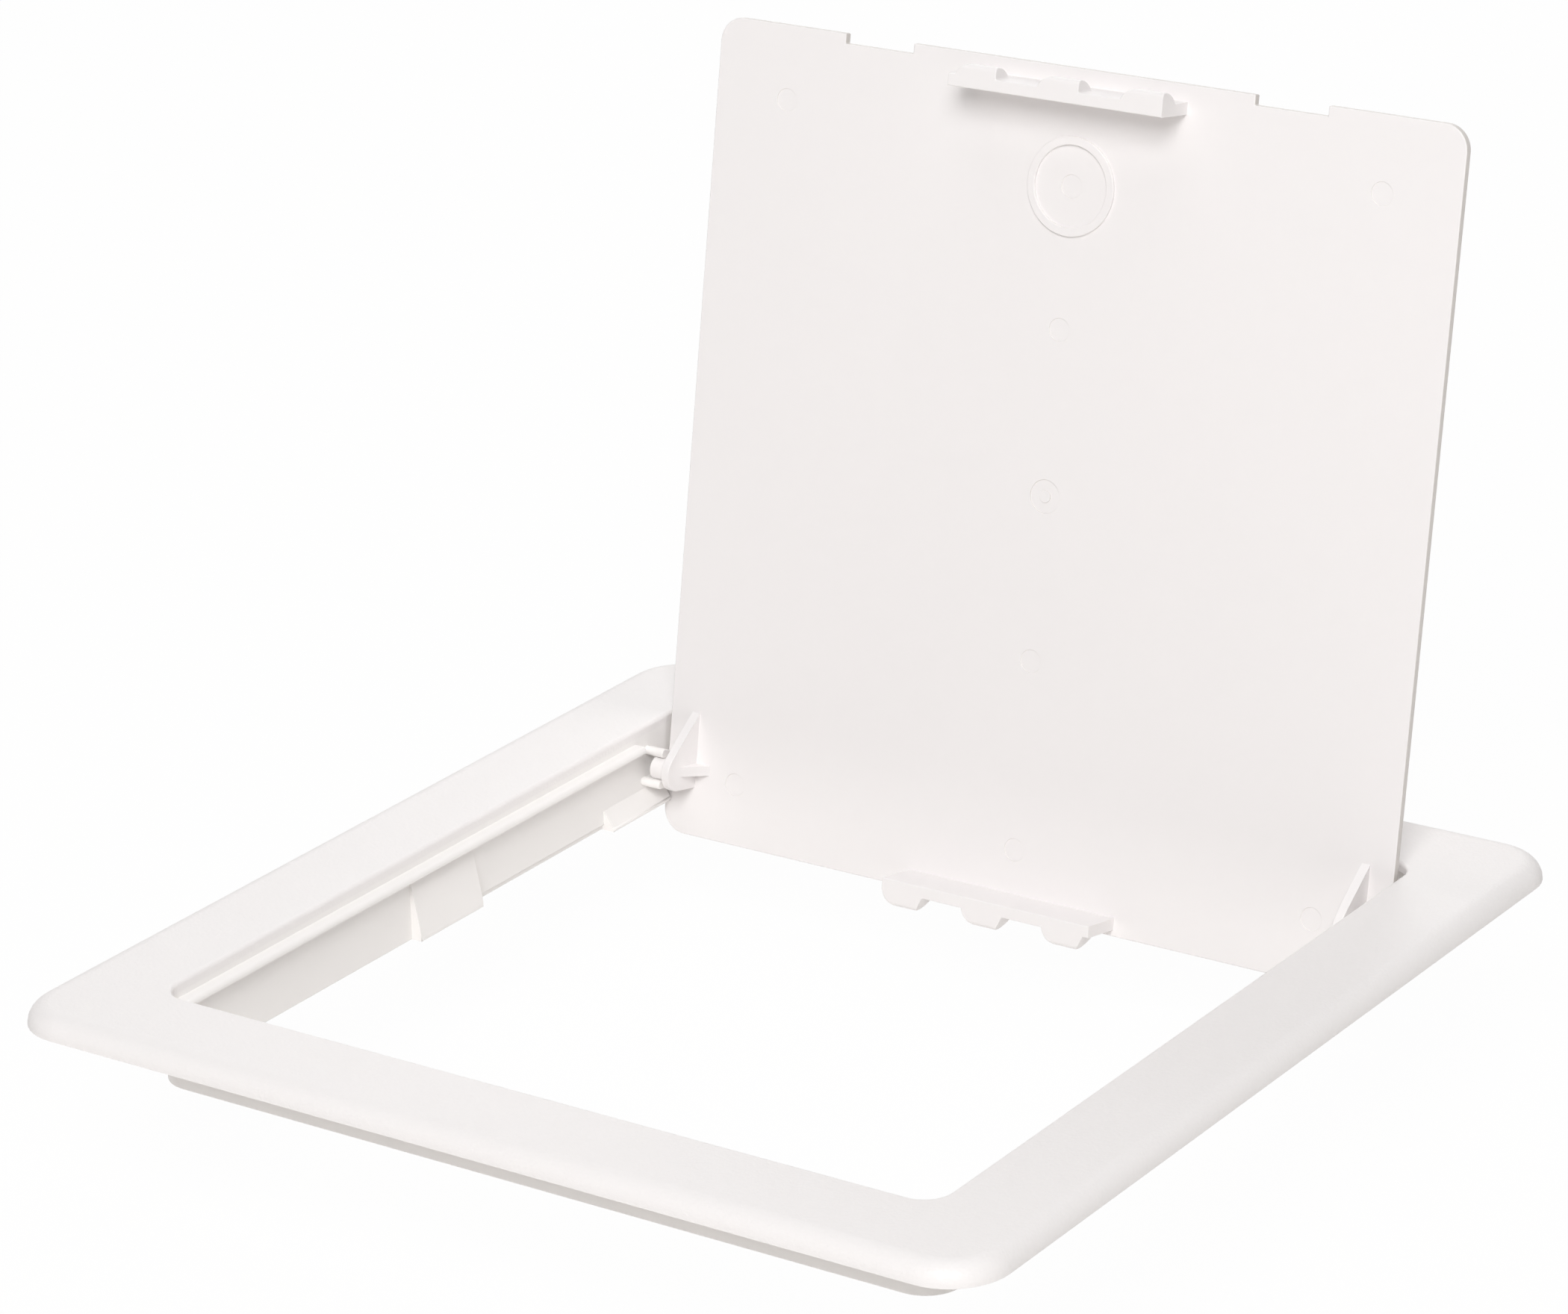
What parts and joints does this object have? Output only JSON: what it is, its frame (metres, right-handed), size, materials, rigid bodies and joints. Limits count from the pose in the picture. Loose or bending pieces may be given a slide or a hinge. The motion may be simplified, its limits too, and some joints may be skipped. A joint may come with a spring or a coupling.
{
  "type": "access panel",
  "caption": "Square ceiling access panel: a flanged frame with a shallow collar and a flat hinged door that snaps shut on hooked latch bars, shown standing open.",
  "frame": {"origin": "centre of the opening, in the plane where the flange's rim meets the ceiling", "axes": "+Z out of the show face, +X along the hinge, +Y to the hinge side"},
  "size_m": [0.254, 0.254, 0.1997],
  "materials": {
    "flange_plastic": "fine moulded grain, matt",
    "frame_plastic": "smooth satin",
    "door_plastic": "smooth satin"
  },
  "bodies": {
    "frame": {"face_flange": "flange_plastic", "collar": "frame_plastic", "door_ledge": "frame_plastic", "latch_keeper": "frame_plastic", "left_pivot_socket": "frame_plastic", "right_pivot_socket": "frame_plastic", "left_stop_pad": "frame_plastic", "right_stop_pad": "frame_plastic", "left_centre_pad": "frame_plastic", "right_centre_pad": "frame_plastic"},
    "door": {"door_panel": "door_plastic", "free_end_latch_bar": "door_plastic", "hinge_end_latch_bar": "door_plastic", "left_hinge_arm": "door_plastic", "right_hinge_arm": "door_plastic", "left_pivot_pin": "door_plastic", "right_pivot_pin": "door_plastic", "lock_locator_ring": "door_plastic"}
  },
  "joints": [
    {"name": "door_hinge", "type": "hinge", "parent": "frame", "child": "door", "pos_m": [0, 0.0838, -0.00605], "axis": [-1, 0, 0], "range_deg": [-100.5, 0]}
  ]
}
